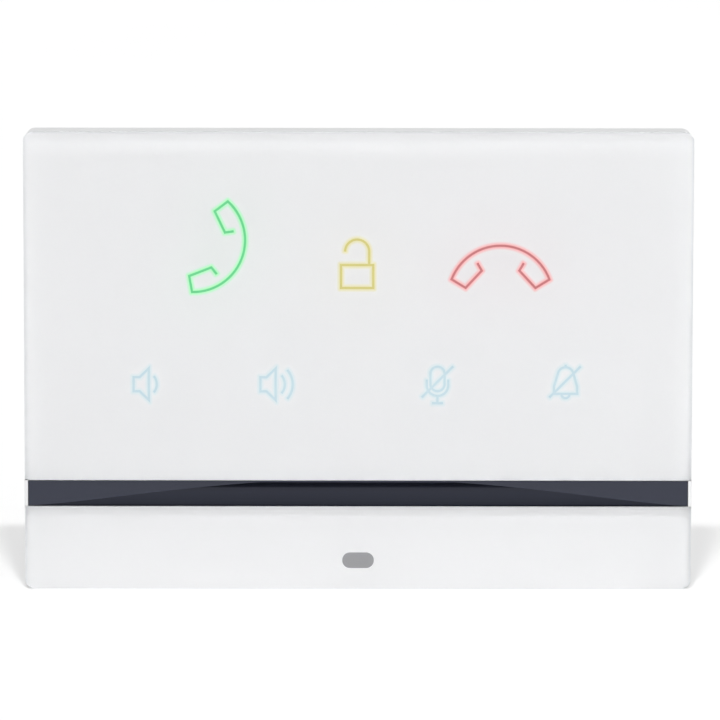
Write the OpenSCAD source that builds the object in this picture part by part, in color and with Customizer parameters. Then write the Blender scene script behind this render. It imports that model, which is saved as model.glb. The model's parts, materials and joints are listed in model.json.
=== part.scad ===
// Wall-mounted intercom answering unit with touch icons behind glass, a sound channel between
// two glass plates, a loudspeaker, a microphone, two circuit boards and a hook-on wall plate.
// +Z is up, +X is right, the glass faces -Y and the wall is the plane y = 0.
// The origin is the centre of the wall-box screws. "Depth" counts from the glass face towards
// the wall and "height" counts from the lower edge of the unit.

/* [Front panel] */
// Width of the front panel
panel_w = 160; // [159:0.5:161]
// Height of the front panel
panel_h = 110; // [109.5:0.5:111]
// Corner radius seen from the front
corner_r = 2.3; // [1.5:0.1:3]
// Height of the lower glass
lower_h = 20; // [19.8:0.1:20]
// Height of the dark sound channel between the two glasses
gap_h = 6.3; // [6.3:0.1:6.6]

/* [Glass] */
// Thickness of both glass plates
glass_t = 3; // [2.8:0.1:3]
// Width of the rounded edge along the sides of the glass
side_rim = 2.8; // [1:0.1:3]
// How far that edge falls back
side_drop = 0.9; // [0.3:0.1:1.2]
// Width of the rounded edge along the top of each plate
top_rim = 0.6; // [0.4:0.1:1]
// Width of the rounded edge along the bottom of each plate
low_rim = 0.8; // [0.4:0.1:1.2]
// How far the top and bottom edges fall back
end_drop = 0.3; // [0.2:0.05:0.4]
// Line width of the touch icons
icon_line = 0.55; // [0.4:0.05:0.6]

/* [Sound channel] */
// Deepest point of the scoop, in the middle
scoop_depth = 3; // [2.5:0.5:3]
// Half the length of the scoop
scoop_half = 79.5; // [79.5:0.5:90]
// How fast the floor of the scoop climbs, 1 for a flat slope
scoop_power = 1.5; // [1.4:0.1:1.6]
// Thickness of the dark lip above the scoop, under the upper glass
scoop_lip = 0.3; // [0.3:0.05:0.4]

/* [Housing] */
// Depth from the glass face to the wall
total_d = 28; // [28:0.5:32]
// Wall thickness of the front frame and the rear cover
wall_t = 2; // [1.8:0.1:2]
// How far the rear cover sits inside the outline of the front
cover_inset = 10; // [9.5:0.5:10]

/* [Hidden] */
$fn = 48;
rim_steps = 8;
scoop_steps = 32;
floor_steps = 10;
arc_steps = 28;
gap_low = lower_h;
gap_high = lower_h + gap_h;

// Depths of the layers, each a start and an end
glass_d = [0, glass_t];
print_d = [glass_t, glass_t + 0.15];
tape_d = [print_d[1], 3.45];
web_d = [3.45, 5.45];
frame_end = 14;
diffuser_d = [web_d[0], 3.95];
baffle_d = [diffuser_d[1], 9];
led_board_d = [baffle_d[1], 10.2];
main_board_d = [11.6, 13.2];
flange_d = [11.6, frame_end];
cover_end = total_d - 1.3;
cover_inner_end = cover_end - wall_t;
plate_d = [total_d - 1.2, total_d];

// Window behind the upper glass, with the parts that fill it
window_x = 64;
window_h = [42.7, 95.8];
window_gap = 0.2;
film_x = 70;
film_h = [38, 104];
led_board_x = 71.5;
led_board_h = [41.5, 96.5];
main_board_x = 64;
main_board_h = [46, 96];

// Icons: place of each centre, and the width and height of the light well behind it
answer_at = [-32.65, 81.3];
door_at = [-0.3, 75.3];
reject_at = [34, 77.7];
volume_down_at = [-50.2, 49.3];
volume_up_at = [-19.8, 49.3];
mute_at = [19, 49];
disturb_at = [49.7, 49.9];
WELLS = [
    [answer_at + [0.5, 0], 19, 26],
    [door_at + [0, 3], 14, 16],
    [reject_at, 27, 14],
    [volume_down_at + [-1, 0], 10, 10.4],
    [volume_up_at + [0.6, 0], 12, 10.4],
    [mute_at, 10, 10.4],
    [disturb_at + [0, -0.6], 10, 10.4]
];
handset_arc_r = 12.5;
handset_arc_end = 20.6;
handset_top = 5.05;
badge_at = [0, 6.7];
badge_size = [7.6, 3.8];

// Screws: places, and the radius of shank, bore and head
led_screws = [for (x = [-68.5, 68.5], h = [44, 94]) [x, h]];
case_screws_at = concat([for (x = [-73.5, 73.5], h = [6.5, 103.5]) [x, h]], [[0, 6.5], [0, 103.5]]);
channel_screws_at = [for (x = [-60, 60], h = [17, 29]) [x, h]];
board_screws_at = [for (x = [-60, 60], h = [50, 92]) [x, h]];
clamp_screws_at = [for (x = [-19, 19]) [x, 26.5]];
small_shank = 0.95;
small_bore = 1;
small_head = 1.9;
head_t = 1.1;
case_shank = 1.45;
case_bore = 1.5;
case_head = 2.75;
case_cone_start = 12.4;
boss_r = 2.5;
case_boss_r = 3;

// Sound channel insert
channel_front = 0.4;
channel_gap = 0.15;
channel_low = gap_low + channel_gap;
channel_high = gap_high - channel_gap;
channel_front_x = panel_w / 2 - 0.9;
channel_rear_x = 77.5;
post_t = 0.8;
channel_flange_d = [web_d[1], 8.45];
channel_flange_h = [14.5, 31.5];
chimney_x = 16;
chimney_h = 30.5;
notch_x = 20;
notch_h = 31.2;
chamber_x = 14.5;
chamber_h = [12.5, 40.5];
chamber_d = [7.45, 10.6];

// Loudspeaker, with its axis along the depth
speaker_at = [0, 26.5];
speaker_r = 13;
basket_d = [11.1, 15.5];
yoke_r = 8.5;
coil_r = [4, 4.4];
magnet_end = 20;

// Microphone in the lower wall of the frame
mic_at = [-50, 8.3];
mic_r = 2;
mic_h = [2.6, 4.1];

// Wall hooks: places, width, and how far the finger stands up
hook_x = 48;
hook_low = [28, 86];
hook_w = 6;
hook_t = 1.2;
hook_rise = 5.9;
hook_inner_d = [22.9, 24.1];
unit_travel = 7;

// Lock screw under the rear cover
lock_d = 21.5;
lip_h = [7.6, 8.8];
lip_x = 9;
lip_front = 17;
lock_tip = 13;

// Label in a recess of the rear cover
label_x = [-62.5, -37.5];
label_h = [38.5, 71.5];
label_gap = 0.5;
label_recess = 0.25;
label_t = 0.15;

// Connectors in the cable bay
bay_x = 32;
bay_h = [45, 84];
socket_x = [-23.5, -7.5];
socket_h = [70, 86];
socket_end = 24.2;
plug_w = 11.8;
plug_d = [14.6, 21.6];
block_x = [-1, 21];
block_h = [70, 82];
block_end = 22.2;
pole_pitch = 5;
pole_count = 4;
first_pole = 2.5;
release_w = 2.8;
release_h = [75.5, 79.1];
release_d = [19.5, 23.2];
release_travel = 1;
reset_at = [28, 55];
reset_body = 6;
reset_button_r = 1.6;

GLASS = [0.93, 0.95, 0.96];
WHITE = [0.92, 0.92, 0.93];
BLACK = [0.06, 0.06, 0.08];
STEEL = [0.7, 0.71, 0.72];
GREEN_BOARD = [0.05, 0.35, 0.18];

// ---- Placing shapes by depth and height ----

// Extrudes an outline drawn in (x, height) between two depths
module slab(d) {
    translate([0, d[1] - total_d, -panel_h / 2])
        rotate([90, 0, 0])
            linear_extrude(d[1] - d[0])
                children();
}

// Extrudes an outline drawn in (x, depth) between two heights
module rise(h) {
    translate([0, -total_d, h[0] - panel_h / 2])
        linear_extrude(h[1] - h[0])
            children();
}

// Extrudes an outline drawn in (height, depth) between two x places
module across(x) {
    translate([x[1], -total_d, -panel_h / 2])
        rotate([0, -90, 0])
            linear_extrude(x[1] - x[0])
                children();
}

// A cuboid from its spans in x, depth and height
module block(x, d, h) {
    translate([x[0], d[0] - total_d, h[0] - panel_h / 2])
        cube([x[1] - x[0], d[1] - d[0], h[1] - h[0]]);
}

// A round post along the depth
module post(at, d, r) {
    slab(d)
        translate(at)
            circle(r);
}

// Turns a profile drawn in (radius, depth) about an axis along the depth
module turned(at) {
    translate([at[0], -total_d, at[1] - panel_h / 2])
        rotate([-90, 0, 0])
            rotate_extrude()
                children();
}

// A rectangle given by its spans, with rounded corners
module panel(x, h, r) {
    translate([x[0] + r, h[0]])
        square([x[1] - x[0] - 2 * r, h[1] - h[0]]);
    translate([x[0], h[0] + r])
        square([x[1] - x[0], h[1] - h[0] - 2 * r]);
    for (cx = [x[0] + r, x[1] - r], ch = [h[0] + r, h[1] - r])
        translate([cx, ch])
            circle(r);
}

module centred_panel(half_x, h, r) {
    panel([-half_x, half_x], h, r);
}

function span(middle, size) = [middle - size / 2, middle + size / 2];
function reversed(p) = [for (i = [len(p) - 1:-1:0]) p[i]];

// ---- Screws ----

// A pan head screw that enters towards the glass, with a cross recess
module pan_screw(at, seat, tip) {
    recess = 0.5;
    difference() {
        union() {
            post(at, [tip, seat], small_shank);
            post(at, [seat, seat + head_t], small_head);
        }
        for (turn = [0, 90])
            slab([seat + head_t - recess, seat + head_t + 1])
                translate(at)
                    rotate(turn)
                        square([small_head * 1.1, recess], center = true);
    }
}

// ---- Glass plates and what is printed behind them ----

// The rounded edge of a plate: starts at the outer edge and ends on the flat face
function rim(edge, inward, width, drop) = [
    for (i = [0:rim_steps])
        let (a = 90 * i / rim_steps)
        [edge + inward * width * (1 - cos(a)), drop * (1 - sin(a))]
];

module glass_plate(h) {
    half = panel_w / 2;
    sides = concat(rim(-half, 1, side_rim, side_drop), reversed(rim(half, -1, side_rim, side_drop)),
        [[half, glass_t], [-half, glass_t]]);
    ends = concat(rim(h[0], 1, low_rim, end_drop), reversed(rim(h[1], -1, top_rim, end_drop)),
        [[h[1], glass_t], [h[0], glass_t]]);
    intersection() {
        slab(glass_d)
            centred_panel(half, [0, panel_h], corner_r);
        rise(h)
            polygon(sides);
        across([-half, half])
            polygon(ends);
    }
}

module touch_glass() {
    color(GLASS)
        glass_plate([gap_high, panel_h]);
}

module lower_glass() {
    color(GLASS)
        glass_plate([0, gap_low]);
}

// The back of a glass plate that its print covers
module print_outline(h) {
    inset = 0.02;
    intersection() {
        centred_panel(panel_w / 2 - inset, [inset, panel_h - inset], corner_r - inset);
        centred_panel(panel_w / 2, [h[0] + inset, h[1] - inset], 0.3);
    }
}

module touch_print() {
    color("white")
        slab(print_d)
            difference() {
                print_outline([gap_high, panel_h]);
                answer_lines();
                door_lines();
                reject_lines();
                volume_down_lines();
                volume_up_lines();
                mute_lines();
                disturb_lines();
            }
}

module badge_outline() {
    half = badge_size / 2;
    centred_panel(half[0], [badge_at[1] - half[1], badge_at[1] + half[1]], half[1] - 0.05);
}

module lower_print() {
    color("white")
        slab(print_d)
            difference() {
                print_outline([0, gap_low]);
                badge_outline();
            }
}

module badge() {
    color("silver")
        slab(print_d)
            badge_outline();
}

// ---- Icon outlines ----

function unit(v) = v / norm(v);
function side_of(a, b) = let (u = unit(b - a)) [-u[1], u[0]];
function mitre(a, b, c) = let (m = side_of(a, b), n = side_of(b, c)) (m + n) / (1 + m * n);

// The path p moved sideways by d, with mitred corners
function moved(p, closed, d) = let (last = len(p) - 1) [
    for (i = [0:last])
        let (before = p[i > 0 ? i - 1 : closed ? last : 0], after = p[i < last ? i + 1 : closed ? 0 : last])
        p[i] + d * (
            !closed && i == 0 ? side_of(p[0], after)
            : !closed && i == last ? side_of(before, p[last])
            : mitre(before, p[i], after)
        )
];

function arc(centre, r, from, to) = [
    for (i = [0:arc_steps])
        let (a = from + (to - from) * i / arc_steps)
        centre + r * [cos(a), sin(a)]
];

// A line of the icons' width along an open path
module line(p) {
    polygon(concat(moved(p, false, icon_line / 2), reversed(moved(p, false, -icon_line / 2))));
}

// A line of the icons' width around a path that runs anticlockwise
module loop_line(p) {
    difference() {
        polygon(moved(p, true, -icon_line / 2));
        polygon(moved(p, true, icon_line / 2));
    }
}

// A telephone handset seen from the side, with its back as one arc
module handset_lines() {
    back = arc([0, handset_top - handset_arc_r], handset_arc_r, handset_arc_end, 180 - handset_arc_end);
    ear = [[5.55, 0.87], [4.5, -0.95], [8.35, -5.1]];
    mouth = [[-8.35, -5.1], [-4.5, -0.95], [-5.55, 0.87]];
    line(concat(ear, back, mouth));
}

module answer_lines() {
    translate(answer_at)
        rotate(-111.5)
            handset_lines();
}

module reject_lines() {
    translate(reject_at)
        handset_lines();
}

// A padlock with its shackle open on the left
module door_lines() {
    body = [3.85, 2.75];
    shackle_r = 2.88;
    shackle_h = 6;
    translate(door_at) {
        loop_line([-body, [body[0], -body[1]], body, [-body[0], body[1]]]);
        line(concat([[shackle_r, body[1]]], arc([0, shackle_h], shackle_r, 0, 180)));
    }
}

// A loudspeaker: a square back and a cone
module horn_lines() {
    loop_line([[-3.65, -1.7], [-2.2, -1.7], [0, -3.8], [0, 3.8], [-2.2, 1.7], [-3.65, 1.7]]);
}

// Sound waves, one arc for each radius
module wave_lines(radii) {
    for (r = radii)
        line(arc([-1.2, 0], r, -36 - r, 36 + r));
}

module volume_down_lines() {
    translate(volume_down_at) {
        horn_lines();
        wave_lines([3.1]);
    }
}

module volume_up_lines() {
    translate(volume_up_at) {
        horn_lines();
        wave_lines([3.4, 5.3]);
    }
}

module mute_lines() {
    capsule_r = 1.7;
    bowl_r = 2.55;
    translate(mute_at) {
        loop_line(concat(arc([0, 2.9], capsule_r, 0, 180), arc([0, 0.4], capsule_r, 180, 360)));
        line(concat([[-bowl_r, 1.5]], arc([0, 0.1], bowl_r, 180, 360), [[bowl_r, 1.5]]));
        line([[0, -2.45], [0, -4]]);
        line([[-1.3, -4.2], [1.3, -4.2]]);
        line([[-3.75, -2.8], [3.75, 4.7]]);
    }
}

module disturb_lines() {
    base = [2.8, -2.8];
    translate(disturb_at) {
        loop_line(concat([[-base[0], base[1]], base, [2.75, -1]], arc([0, 1.7], 1.9, 12, 168),
            [[-2.75, -1]]));
        line([[0, 3.6], [0, 4.2]]);
        line(arc([0, -2.9], 0.95, 180, 360));
        line([[-3.9, -3.7], [3.6, 3.8]]);
    }
}

module answer_icon() {
    color("limegreen")
        slab(print_d)
            answer_lines();
}

module door_icon() {
    color("gold")
        slab(print_d)
            door_lines();
}

module reject_icon() {
    color("crimson")
        slab(print_d)
            reject_lines();
}

module volume_down_icon() {
    color("lightblue")
        slab(print_d)
            volume_down_lines();
}

module volume_up_icon() {
    color("lightblue")
        slab(print_d)
            volume_up_lines();
}

module mute_icon() {
    color("lightblue")
        slab(print_d)
            mute_lines();
}

module do_not_disturb_icon() {
    color("lightblue")
        slab(print_d)
            disturb_lines();
}

// ---- Layers behind the glass ----

module glass_tape() {
    edge = 1;
    gap = 0.5;
    color("dimgray")
        slab(tape_d)
            difference() {
                centred_panel(panel_w / 2 - edge, [gap_high + edge, panel_h - edge], 1.5);
                centred_panel(film_x + gap, [film_h[0] - gap, film_h[1] + gap], 1);
            }
}

module lower_glass_tape() {
    edge = 1;
    strip = 4;
    outer_x = panel_w / 2 - edge;
    color("dimgray")
        slab(tape_d)
            difference() {
                centred_panel(outer_x, [edge, gap_low - edge], 1.5);
                centred_panel(outer_x - strip, [edge + strip, gap_low - edge - strip], 1);
            }
}

module touch_film() {
    color("lightyellow")
        slab(tape_d)
            centred_panel(film_x, film_h, 1);
}

module diffuser() {
    color("whitesmoke")
        slab(diffuser_d)
            centred_panel(window_x - window_gap, [window_h[0] + window_gap, window_h[1] - window_gap], 1);
}

module light_baffle() {
    lip = 1.5;
    color("gainsboro")
        difference() {
            union() {
                slab(baffle_d)
                    centred_panel(window_x - window_gap,
                        [window_h[0] + window_gap, window_h[1] - window_gap], 1);
                slab([web_d[1], web_d[1] + wall_t])
                    centred_panel(window_x + lip, [window_h[0] - lip, window_h[1] + lip], 1);
            }
            slab([baffle_d[0] - 1, baffle_d[1] + 1])
                for (well = WELLS)
                    translate(well[0])
                        square([well[1], well[2]], center = true);
        }
}

module led_board() {
    hole_r = 1.2;
    color(GREEN_BOARD)
        slab(led_board_d)
            difference() {
                centred_panel(led_board_x, led_board_h, 1);
                for (at = led_screws)
                    translate(at)
                        circle(hole_r);
            }
}

// Two by two lamps behind each large icon and a pair behind each small one
module leds() {
    lamp = 1.6;
    lamp_t = 0.8;
    large = 13;
    color("lemonchiffon")
        for (well = WELLS, side = [-1, 1], row = well[2] > 12 ? [-1, 1] : [0])
            let (x = well[0][0] + side * well[1] / 4, h = well[0][1] + row * well[2] / 4)
            block(span(x, lamp), [led_board_d[0] - lamp_t, led_board_d[0]], span(h, lamp));
}

// Touch controller, lamp driver and the ribbon connector on the back of the lamp board
module touch_chips() {
    back = led_board_d[1];
    color(BLACK) {
        block(span(12, 6), [back, back + 0.9], span(68, 6));
        block(span(-14, 5), [back, back + 0.9], span(66, 5));
        for (i = [0:3])
            block(span(26 + 5 * i, 1.6), [back, back + 0.7], span(66, 2.8));
        block(ribbon_plug_x, [back, back + 1.2], [42, 45]);
    }
}

module led_board_screws() {
    tip = 5.9;
    color(STEEL)
        for (at = led_screws)
            pan_screw(at, led_board_d[1], tip);
}

// ---- Front frame ----

module front_frame() {
    half = panel_w / 2;
    post_front = 0.3;
    boss_start = web_d[1] - 0.5;
    mic_port_r = 0.6;
    led_bore_start = 5.6;
    case_bore_start = 6.2;
    channel_bore_start = 3.9;
    color(WHITE)
        difference() {
            union() {
                difference() {
                    slab([web_d[0], frame_end])
                        centred_panel(half, [0, panel_h], corner_r);
                    slab([web_d[1], frame_end + 1])
                        centred_panel(half - wall_t, [wall_t, panel_h - wall_t], 1);
                }
                for (side = [-1, 1])
                    block(span(side * (half - post_t / 2), post_t), [post_front, web_d[1]],
                        [gap_low, gap_high]);
                for (at = led_screws)
                    post(at, [boss_start, baffle_d[1]], boss_r);
                for (at = case_screws_at)
                    post(at, [boss_start, flange_d[0]], case_boss_r);
            }
            slab([web_d[0] - 1, web_d[1] + 0.001])
                centred_panel(window_x, window_h, 1);
            block([-channel_rear_x - 0.1, channel_rear_x + 0.1], [web_d[0] - 1, web_d[1] + 0.001],
                [gap_low, gap_high]);
            block([-notch_x, notch_x], [web_d[0] - 1, web_d[1] + 0.001], [gap_high - 1, notch_h]);
            for (at = led_screws)
                post(at, [led_bore_start, baffle_d[1] + 1], small_bore);
            for (at = case_screws_at)
                post(at, [case_bore_start, flange_d[0] + 1], case_bore);
            for (at = channel_screws_at)
                post(at, [channel_bore_start, web_d[1] + 1], small_bore);
            rise([-1, wall_t + 1])
                translate(mic_at)
                    circle(mic_port_r);
        }
}

// ---- Sound channel: a scoop between the glasses that leads to the loudspeaker ----

// The space above the floor of the scoop, in (height, depth)
module above_floor() {
    climb = gap_h - 0.2;
    polygon(concat(
        [[channel_low, channel_front - 1]],
        [for (i = [0:floor_steps]) [channel_low + climb * pow(i / floor_steps, scoop_power),
            channel_front + scoop_depth * i / floor_steps]],
        [[channel_low + climb + 1, channel_front + scoop_depth],
            [channel_low + climb + 1, channel_front - 1]]
    ));
}

// The space in front of the curved back wall, in (x, depth)
module before_wall() {
    polygon(concat(
        [for (i = [0:scoop_steps]) let (x = scoop_half * (2 * i / scoop_steps - 1))
            [x, channel_front + scoop_depth * (1 - pow(x / scoop_half, 2))]],
        [[scoop_half, channel_front - 1], [-scoop_half, channel_front - 1]]
    ));
}

module sound_channel() {
    slot_w = 1.4;
    slot_pitch = 3;
    slots_each_side = 3;
    slot_h = [27, 30.2];
    pocket_d = 7.4;
    chamber_floor = 9;
    clamp_post_r = 2.6;
    clamp_bore_start = 9.5;
    color(BLACK)
        difference() {
            union() {
                block([-channel_front_x, channel_front_x], [channel_front, web_d[0]],
                    [channel_low, channel_high]);
                block([-channel_rear_x, channel_rear_x], [channel_front, channel_flange_d[1]],
                    [channel_low, channel_high]);
                slab(channel_flange_d)
                    centred_panel(76, channel_flange_h, 1);
                block([0.3 - notch_x, notch_x - 0.3], web_d + [0, 0.1], [channel_high - 0.1, notch_h - 0.2]);
                block([-chamber_x, chamber_x], chamber_d, chamber_h);
                for (at = clamp_screws_at)
                    post(at, [chamber_d[0], basket_d[1]], clamp_post_r);
            }
            intersection() {
                across([-panel_w, panel_w])
                    above_floor();
                rise([channel_low - 1, channel_high - scoop_lip])
                    before_wall();
            }
            block([-chimney_x, chimney_x], [web_d[0] - 1, pocket_d], [channel_high - 0.5, chimney_h]);
            post(speaker_at, [chamber_floor, chamber_d[1] + 1], speaker_r - 1);
            for (i = [-slots_each_side:slots_each_side])
                block(span(i * slot_pitch, slot_w), [pocket_d - 1, chamber_floor + 1], slot_h);
            for (at = channel_screws_at)
                post(at, [web_d[1] - 1, channel_flange_d[1] + 1], small_bore);
            for (at = clamp_screws_at)
                post(at, [clamp_bore_start, basket_d[1] + 1], small_bore);
        }
}

module channel_screws() {
    tip = 4.1;
    color(STEEL)
        for (at = channel_screws_at)
            pan_screw(at, channel_flange_d[1], tip);
}

// ---- Loudspeaker ----

module speaker_gasket() {
    color("dimgray")
        slab([chamber_d[1], basket_d[0]])
            translate(speaker_at)
                difference() {
                    circle(speaker_r);
                    circle(speaker_r - 0.9);
                }
}

// A pressed cup with four windows in its floor
module speaker_basket() {
    floor_t = 0.8;
    wall = 0.9;
    window = [3, 5];
    color("darkgray")
        difference() {
            turned(speaker_at)
                difference() {
                    translate([yoke_r - 1.2, basket_d[0]])
                        square([speaker_r - yoke_r + 1.2, basket_d[1] - basket_d[0]]);
                    translate([0, basket_d[0] - 1])
                        square([speaker_r - wall, basket_d[1] - basket_d[0] + 1 - floor_t]);
                }
            slab([basket_d[1] - 2 * floor_t, basket_d[1] + 1])
                for (turn = [45:90:315])
                    translate(speaker_at)
                        rotate(turn)
                            translate([10.2, 0])
                                square(window, center = true);
        }
}

// A rolled edge that lets the cone move
module speaker_surround() {
    roll = [for (i = [0:10]) let (a = 18 * i) [10.75 + cos(a), 12.4 - 0.55 * sin(a)]];
    color("black")
        turned(speaker_at)
            polygon(concat([for (p = roll) p], reversed([for (p = roll) p + [0, 0.25]])));
}

module speaker_cone() {
    color([0.25, 0.25, 0.27])
        turned(speaker_at)
            polygon([[9.7, 12.2], [9.7, 12.5], [4.4, 14], [4.4, 13.7]]);
}

module speaker_dust_cap() {
    cap = [for (i = [0:8]) let (a = 90 * i / 8) [4.4 * sin(a), 12.6 + 1.1 * (1 - cos(a))]];
    color([0.15, 0.15, 0.16])
        turned(speaker_at)
            polygon(concat(cap, [[4.4, 14], [0, 12.9]]));
}

module voice_coil() {
    color("orange")
        turned(speaker_at)
            translate([coil_r[0], 14])
                square([coil_r[1] - coil_r[0], 3.4]);
}

// Steel yoke, magnet and front plate, with the gap that the coil moves in
module speaker_magnet() {
    shell = 1.2;
    pole_r = 3.7;
    plate_hole = 4.9;
    color("gray")
        turned(speaker_at)
            difference() {
                translate([0, basket_d[1]])
                    square([yoke_r, magnet_end - basket_d[1]]);
                translate([pole_r, basket_d[1] + 1])
                    square([yoke_r - shell - pole_r, 2.3]);
                translate([pole_r, basket_d[1] - 1])
                    square([plate_hole - pole_r, 3]);
            }
}

module speaker_clamp() {
    ear_x = 21.6;
    ear_w = 5.2;
    hole_r = 1.2;
    color(STEEL)
        slab([basket_d[1], basket_d[1] + 1])
            difference() {
                union() {
                    translate(speaker_at)
                        circle(speaker_r);
                    translate(speaker_at)
                        square([2 * ear_x, ear_w], center = true);
                }
                translate(speaker_at)
                    circle(yoke_r + 0.1);
                for (at = clamp_screws_at)
                    translate(at)
                        circle(hole_r);
            }
}

module speaker_screws() {
    tip = 9.8;
    color(STEEL)
        for (at = clamp_screws_at)
            pan_screw(at, basket_d[1] + 1, tip);
}

// ---- Wires and microphone ----

// A wire through places given as x, depth and height
module wire(places, r) {
    for (i = [0:len(places) - 2]) {
        a = places[i];
        run = places[i + 1] - a;
        translate([a[0], a[1] - total_d, a[2] - panel_h / 2]) {
            rotate([0, acos(run[2] / norm(run)), atan2(run[1], run[0])])
                cylinder(h = norm(run), r = r, $fn = 16);
            if (i > 0)
                sphere(r * 1.02, $fn = 16);
        }
    }
}

module audio_wires() {
    wire_r = 0.4;
    color("firebrick")
        wire([[9.6, 17.2, 33], [16, 17.2, 40], [32, 16.4, 44], [36, 15.6, 48.2]], wire_r);
    color(BLACK)
        wire([[11.2, 17.2, 31.5], [18, 17.2, 38.6], [34, 16.4, 42.8], [37.6, 15.6, 48.2]], wire_r);
    color("firebrick")
        wire([[-50.6, 8.3, 4.1], [-50.6, 8.3, 6], [-50.6, 9.6, 9], [-50.6, 9.6, 36], [-44, 14.8, 42],
            [-42.6, 15.6, 48.2]], wire_r);
    color(BLACK)
        wire([[-49.4, 8.3, 4.1], [-49.4, 8.3, 6], [-49.4, 9.6, 9], [-49.4, 9.6, 36], [-42.4, 14.8, 42],
            [-41, 15.6, 48.2]], wire_r);
}

module microphone() {
    color(STEEL)
        rise(mic_h)
            translate(mic_at)
                circle(mic_r - 0.02);
}

module microphone_boot() {
    boot_r = 2.6;
    port_r = 0.7;
    color("black")
        difference() {
            rise([wall_t, mic_h[1] + 0.6])
                translate(mic_at)
                    circle(boot_r);
            rise([mic_h[0], mic_h[1] + 1])
                translate(mic_at)
                    circle(mic_r);
            rise([wall_t - 1, 3])
                translate(mic_at)
                    circle(port_r);
        }
}

// ---- Main board and what stands on it ----

board_back = main_board_d[1];
ribbon_plug_x = [-35, -21];

module main_board() {
    hole_r = 1.3;
    color(GREEN_BOARD)
        slab(main_board_d)
            difference() {
                centred_panel(main_board_x, main_board_h, 1);
                for (at = board_screws_at)
                    translate(at)
                        circle(hole_r);
            }
}

// These screws enter from the glass side, so they are mirrored in depth
module main_board_screws() {
    tip = 18;
    seat = main_board_d[0];
    recess = 0.5;
    color(STEEL)
        for (at = board_screws_at)
            difference() {
                union() {
                    post(at, [seat, tip], small_shank);
                    post(at, [seat - head_t, seat], small_head);
                }
                for (turn = [0, 90])
                    slab([seat - head_t - 1, seat - head_t + recess])
                        translate(at)
                            rotate(turn)
                                square([small_head * 1.1, recess], center = true);
            }
}

module shield_can() {
    skin = 0.25;
    can_x = [-58, -34];
    can_h = [56, 84];
    can_end = 16.2;
    color("silver")
        difference() {
            block(can_x, [board_back, can_end], can_h);
            block(can_x + [skin, -skin], [board_back - 1, can_end - skin], can_h + [skin, -skin]);
        }
}

// Each chip: x, height, its size in x and in height, and its thickness
CHIPS = [
    [-46, 74, 12, 12, 1.2],
    [-46, 62, 9, 8, 1],
    [44, 60, 5, 5, 0.9],
    [56, 74, 5, 6, 1.2],
    [52, 66, 4, 4, 0.8],
    [-30, 62, 2.5, 3.2, 0.8],
    [-4, 91, 6, 5, 1.4],
    [10, 90, 4, 4, 0.8]
];

module main_chips() {
    color(BLACK)
        for (chip = CHIPS)
            block(span(chip[0], chip[2]), [board_back, board_back + chip[4]], span(chip[1], chip[3]));
}

module ethernet_transformer() {
    color(BLACK)
        block([-22, -9], [board_back, 19], [88, 95]);
    color("gold")
        for (i = [0:5], side = [-1, 1])
            block(span(-20.5 + 2 * i, 0.6), [board_back, board_back + 0.4], span(91.5 + side * 3.9, 0.8));
}

module capacitors() {
    can_r = 3.15;
    can_end = 20.9;
    groove = 0.25;
    color([0.2, 0.2, 0.25])
        for (x = [28, 36.5, 45])
            turned([x, 90.5])
                difference() {
                    translate([0, board_back])
                        square([can_r, can_end - board_back]);
                    translate([can_r - groove, board_back + 1.2])
                        square([1, 0.6]);
                }
}

module power_chokes() {
    size = 7;
    color([0.3, 0.3, 0.32])
        for (x = [34, 44])
            slab([board_back, board_back + 4])
                translate([x, 76])
                    centred_panel(size / 2, [-size / 2, size / 2], 1);
}

// White wire headers for the loudspeaker and microphone, and the ribbon connector
module wire_headers() {
    header_h = [48, 53];
    header_end = 17.6;
    wall = 0.8;
    color("ivory")
        for (x = [36.8, -41.8])
            difference() {
                block(span(x, 6), [board_back, header_end], header_h);
                block(span(x, 6 - 2 * wall), [board_back + 1, header_end - wall],
                    header_h - [1, 2]);
            }
    color("ivory")
        block(ribbon_plug_x, [board_back, 15], [47, 50]);
}

// The ribbon leaves the lamp board, turns round the edge of the main board and goes up again
module ribbon_cable() {
    ribbon_x = [-33, -23];
    ribbon_t = 0.2;
    bend_at = [40.6, 12.6];
    bend_r = 1.6;
    color("whitesmoke") {
        across(ribbon_x)
            intersection() {
                translate(bend_at)
                    difference() {
                        circle(bend_r + ribbon_t);
                        circle(bend_r);
                    }
                translate(bend_at - [4, 4])
                    square([4, 8]);
            }
        block(ribbon_x, [bend_at[1] - bend_r - ribbon_t, bend_at[1] - bend_r], [bend_at[0], 42]);
        block(ribbon_x, [bend_at[1] + bend_r, bend_at[1] + bend_r + ribbon_t], [bend_at[0], 47]);
    }
}

// ---- Network socket, terminal block and reset switch ----

module socket_body() {
    middle = (socket_x[0] + socket_x[1]) / 2;
    latch_w = 6;
    latch_end = 23.2;
    color([0.1, 0.1, 0.12])
        difference() {
            block(socket_x, [board_back, socket_end], socket_h);
            block(span(middle, plug_w), plug_d, [socket_h[0] - 1, 83]);
            block(span(middle, latch_w), [plug_d[1] - 1, latch_end], [socket_h[0] - 1, 80]);
        }
}

module socket_shell() {
    skin = 0.25;
    color("silver")
        difference() {
            block(socket_x + [-skin, skin], [board_back, socket_end + skin], socket_h + [0, skin]);
            block(socket_x, [board_back - 1, socket_end], socket_h - [1, 0]);
        }
}

module socket_contacts() {
    middle = (socket_x[0] + socket_x[1]) / 2;
    pitch = 1.02;
    color("gold")
        for (i = [0:7])
            block(span(middle + (i - 3.5) * pitch, 0.35), [plug_d[0], plug_d[0] + 0.5], [72, 83]);
}

function pole_x(i) = first_pole + block_x[0] + 1 + pole_pitch * i;

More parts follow.
